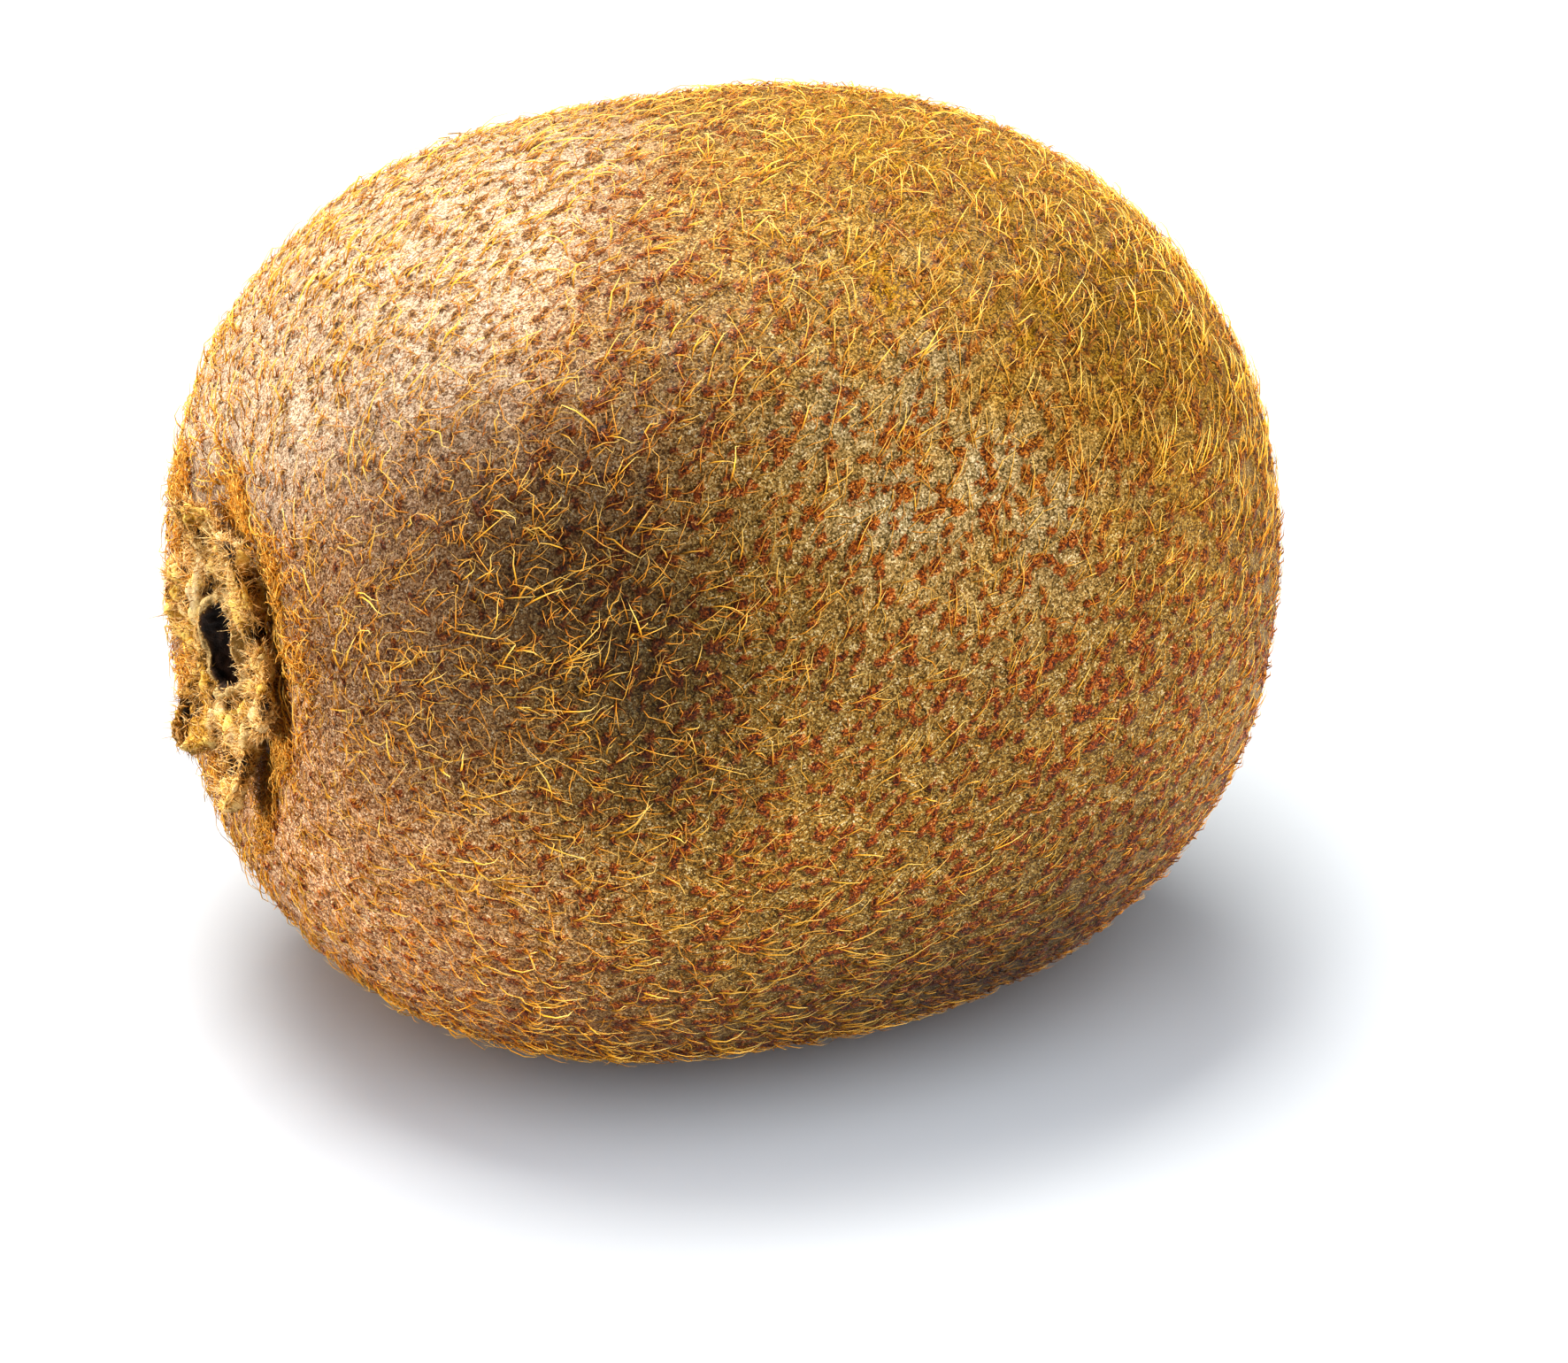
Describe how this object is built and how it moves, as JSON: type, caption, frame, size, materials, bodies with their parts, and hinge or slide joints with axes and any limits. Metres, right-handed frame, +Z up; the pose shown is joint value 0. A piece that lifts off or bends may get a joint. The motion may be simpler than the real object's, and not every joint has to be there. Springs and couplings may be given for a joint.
{
  "type": "kiwifruit",
  "caption": "Whole green kiwifruit lying on its side: blunt barrel shape with hairy brown skin, a shallow stem basin with dried calyx and scar, and dried styles at the blossom end",
  "frame": {"origin": "centre of the bounding box in plan, on the surface that the fruit lies on", "axes": "+X runs along the long axis from the stem end to the blossom end, +Y lies across it, +Z points up"},
  "size_m": [0.065, 0.0556, 0.0531],
  "materials": {
    "fruit_skin": "brown skin covered in a felt of short hairs",
    "dried_sepal": "dry, felted and wrinkled",
    "stem_wood": "dark corky end grain",
    "dried_style": "dry dark bristles"
  },
  "bodies": {
    "root": {"fruit": "fruit_skin", "calyx": "dried_sepal", "stem_scar": "stem_wood", "style_tuft": "dried_style"}
  },
  "joints": []
}
